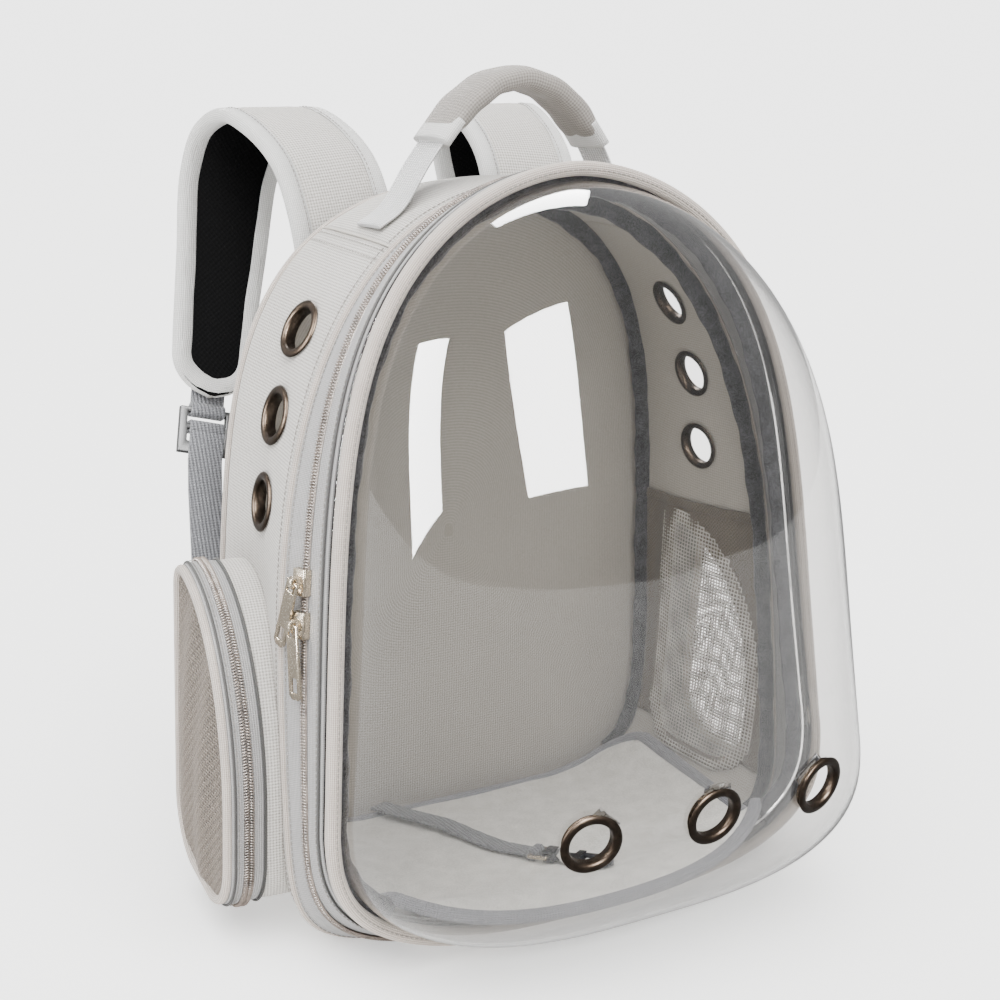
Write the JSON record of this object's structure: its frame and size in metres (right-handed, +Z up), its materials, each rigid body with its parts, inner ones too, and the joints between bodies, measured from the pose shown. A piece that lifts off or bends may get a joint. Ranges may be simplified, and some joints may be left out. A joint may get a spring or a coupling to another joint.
{
  "type": "bubble pet carrier backpack",
  "caption": "Soft backpack pet carrier with a clear domed zip-open front, metal-ringed air holes, side pockets, a padded top handle and padded shoulder straps.",
  "frame": {"origin": "middle of the flat underside, midway between the front fold and the back seam line", "axes": "+Z up to the handle, -Y to the clear dome at the front, +X to the right as seen from the front"},
  "size_m": [0.372, 0.3644, 0.4398],
  "materials": {
    "cloth": "coarse two-tone woven polyester",
    "lining": "plain woven lining",
    "mesh": "open knitted mesh",
    "tape": "fine woven zip tape",
    "coil": "moulded zip coil",
    "piping": "cloth-covered cord",
    "clear": "clear moulded sheet",
    "grommet": "dark antique",
    "nickel": "worn nickel plate",
    "webbing": "ribbed woven webbing",
    "plastic": "moulded, black",
    "hook": "dark grey",
    "mat": "short plush",
    "binding": "folded edge tape"
  },
  "bodies": {
    "carrier": {"base_panel": "lining", "gusset_right": "cloth", "gusset_left": "cloth", "gusset_top": "cloth", "back_panel": "cloth", "zip_band": "tape", "zip_coil": "coil", "door_hinge_strip": "tape", "fold_piping": "piping", "door_piping": "piping", "bubble": "clear", "bubble_grommet_1": "grommet", "bubble_grommet_2": "grommet", "bubble_grommet_3": "grommet", "grommet_right_1": "grommet", "grommet_right_2": "grommet", "grommet_right_3": "grommet", "grommet_left_1": "grommet", "grommet_left_2": "grommet", "grommet_left_3": "grommet", "pocket_band_right": "tape", "pocket_piping_right": "piping", "pocket_face_right": "mesh", "window_mesh_right": "mesh", "pocket_band_left": "tape", "pocket_piping_left": "piping", "pocket_face_left": "mesh", "window_mesh_left": "mesh", "slider_upper": "nickel", "slider_lower": "nickel", "handle_webbing": "webbing", "handle_grip": "cloth", "shoulder_strap_right": "cloth", "strap_tab_right": "webbing", "ladder_lock_right": "plastic", "strap_webbing_right": "webbing", "shoulder_strap_left": "cloth", "strap_tab_left": "webbing", "ladder_lock_left": "plastic", "strap_webbing_left": "webbing", "floor_mat": "mat", "mat_binding": "binding", "leash_webbing": "webbing", "leash_ring": "nickel", "leash_hook": "hook"},
    "upper_pull": {"pull_upper": "nickel"},
    "lower_pull": {"pull_lower": "nickel"},
    "gate": {"hook_gate": "hook"}
  },
  "joints": [
    {"name": "upper_pull_swing", "type": "hinge", "parent": "carrier", "child": "upper_pull", "pos_m": [-0.1554, -0.04965, 0.19908], "axis": [-0.1593, 0.9146, 0.3717], "range_deg": [0, 150]},
    {"name": "lower_pull_swing", "type": "hinge", "parent": "carrier", "child": "lower_pull", "pos_m": [-0.15727, -0.05091, 0.17807], "axis": [-0.2204, 0.9746, -0.0387], "range_deg": [0, 150]},
    {"name": "gate_swing", "type": "hinge", "parent": "carrier", "child": "gate", "pos_m": [0.01201, -0.0521, 0.02097], "axis": [0.0532, -0.1002, -0.9935], "range_deg": [0, 24], "stiffness_Nm_per_rad": 0.02, "springref_deg": -11.46}
  ]
}
